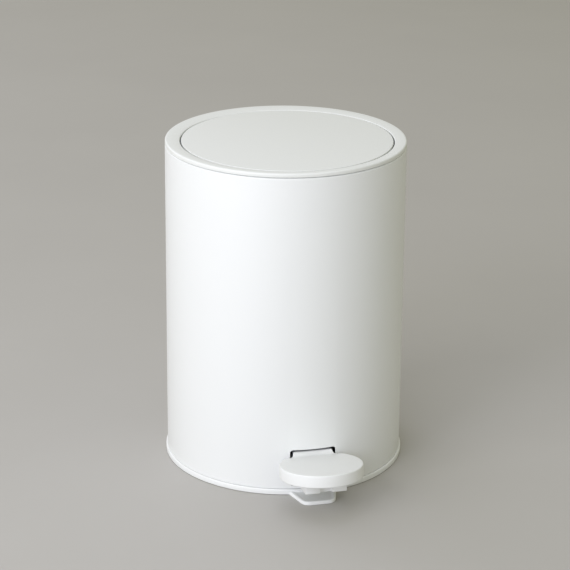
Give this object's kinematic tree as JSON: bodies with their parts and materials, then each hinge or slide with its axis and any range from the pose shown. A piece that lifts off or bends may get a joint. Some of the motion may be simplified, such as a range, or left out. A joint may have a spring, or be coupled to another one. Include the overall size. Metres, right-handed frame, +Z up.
{
  "type": "pedal bin",
  "caption": "Round pedal bin: painted steel can with an inset disc lid, a round foot pedal at the front, and an inner bucket on a platform over the lever.",
  "frame": {"origin": "on the floor at the can's axis, the centre of the underside of the anti-slip mat", "axes": "+Z up the can's axis, -Y towards the pedal, +Y towards the lid hinge, +X to the right seen from the front"},
  "size_m": [0.2078, 0.2683, 0.284],
  "materials": {
    "body_paint": "smooth matte white powder coat",
    "lid_paint": "satin white, soft touch",
    "white_plastic": "moulded satin white",
    "grey_plastic": "moulded, fine texture",
    "nylon": "natural nylon",
    "rubber": "matte",
    "seal": "matte grey",
    "zinc_steel": "zinc plated",
    "bright_steel": "drawn wire, bright"
  },
  "bodies": {
    "housing": {"anti_slip_mat": "rubber", "base_moulding": "white_plastic", "body_shell": "body_paint", "bucket_platform": "grey_plastic", "damper_clamp": "zinc_steel", "damper_cylinder": "grey_plastic", "hinge_bracket_left": "zinc_steel", "hinge_bracket_right": "zinc_steel", "lid_hinge_pin": "bright_steel", "lid_seat_ring": "seal", "pedal_pivot_pin": "bright_steel", "pedal_return_spring": "bright_steel", "pedal_stop_bumper": "rubber", "pivot_bracket_left": "zinc_steel", "pivot_bracket_right": "zinc_steel", "platform_screw_front_left": "zinc_steel", "platform_screw_front_right": "zinc_steel", "platform_screw_rear_left": "zinc_steel", "platform_screw_rear_right": "zinc_steel", "rod_guide_lower": "nylon", "rod_guide_upper": "nylon", "top_collar": "lid_paint"},
    "pedal": {"pedal_pad": "white_plastic", "pedal_arm": "white_plastic", "pivot_bush_left": "nylon", "pivot_bush_right": "nylon", "pad_screw_front_left": "zinc_steel", "pad_screw_front_right": "zinc_steel", "pad_screw_rear_left": "zinc_steel", "pad_screw_rear_right": "zinc_steel"},
    "lift_rod": {"push_rod": "zinc_steel", "rod_foot": "nylon", "rod_foot_pin": "bright_steel", "rod_head": "nylon", "damper_piston": "bright_steel", "damper_link": "zinc_steel"},
    "lid": {"lid_disc": "lid_paint", "lid_liner": "white_plastic", "lid_hinge_arms": "zinc_steel", "lid_crank_pin": "bright_steel", "lid_screw_left": "zinc_steel", "lid_screw_right": "zinc_steel"},
    "bucket": {"inner_bucket": "grey_plastic"},
    "handle": {"bucket_handle": "bright_steel", "handle_grip": "grey_plastic", "handle_cap_left": "nylon", "handle_cap_right": "nylon"}
  },
  "joints": [
    {"name": "lid_open", "type": "hinge", "parent": "housing", "child": "lid", "pos_m": [0, 0.0925, 0.279], "axis": [-1, 0, 0], "range_deg": [0, 80]},
    {"name": "pedal_press", "type": "hinge", "parent": "housing", "child": "pedal", "pos_m": [0, -0.04, 0.02], "axis": [1, 0, 0], "range_deg": [0, 8.45], "stiffness_Nm_per_rad": 0.6, "springref_deg": -8.59, "deforming": ["pedal_return_spring"]},
    {"name": "rod_lift", "type": "slide", "parent": "housing", "child": "lift_rod", "axis": [0, 0, 1], "range_m": [0, 0.018]},
    {"name": "bucket_lift", "type": "slide", "parent": "housing", "child": "bucket", "axis": [0, 0, 1], "range_m": [0, 0.008]},
    {"name": "handle_swing", "type": "hinge", "parent": "bucket", "child": "handle", "pos_m": [0, -0.0047, 0.2583], "axis": [-1, 0, 0], "range_deg": [0, 5]}
  ],
  "couplings": [
    {"joint": "pedal_press", "follows": "lid_open", "ratio": 0.10548},
    {"joint": "rod_lift", "follows": "lid_open", "m_per_rad": 0.01289}
  ]
}
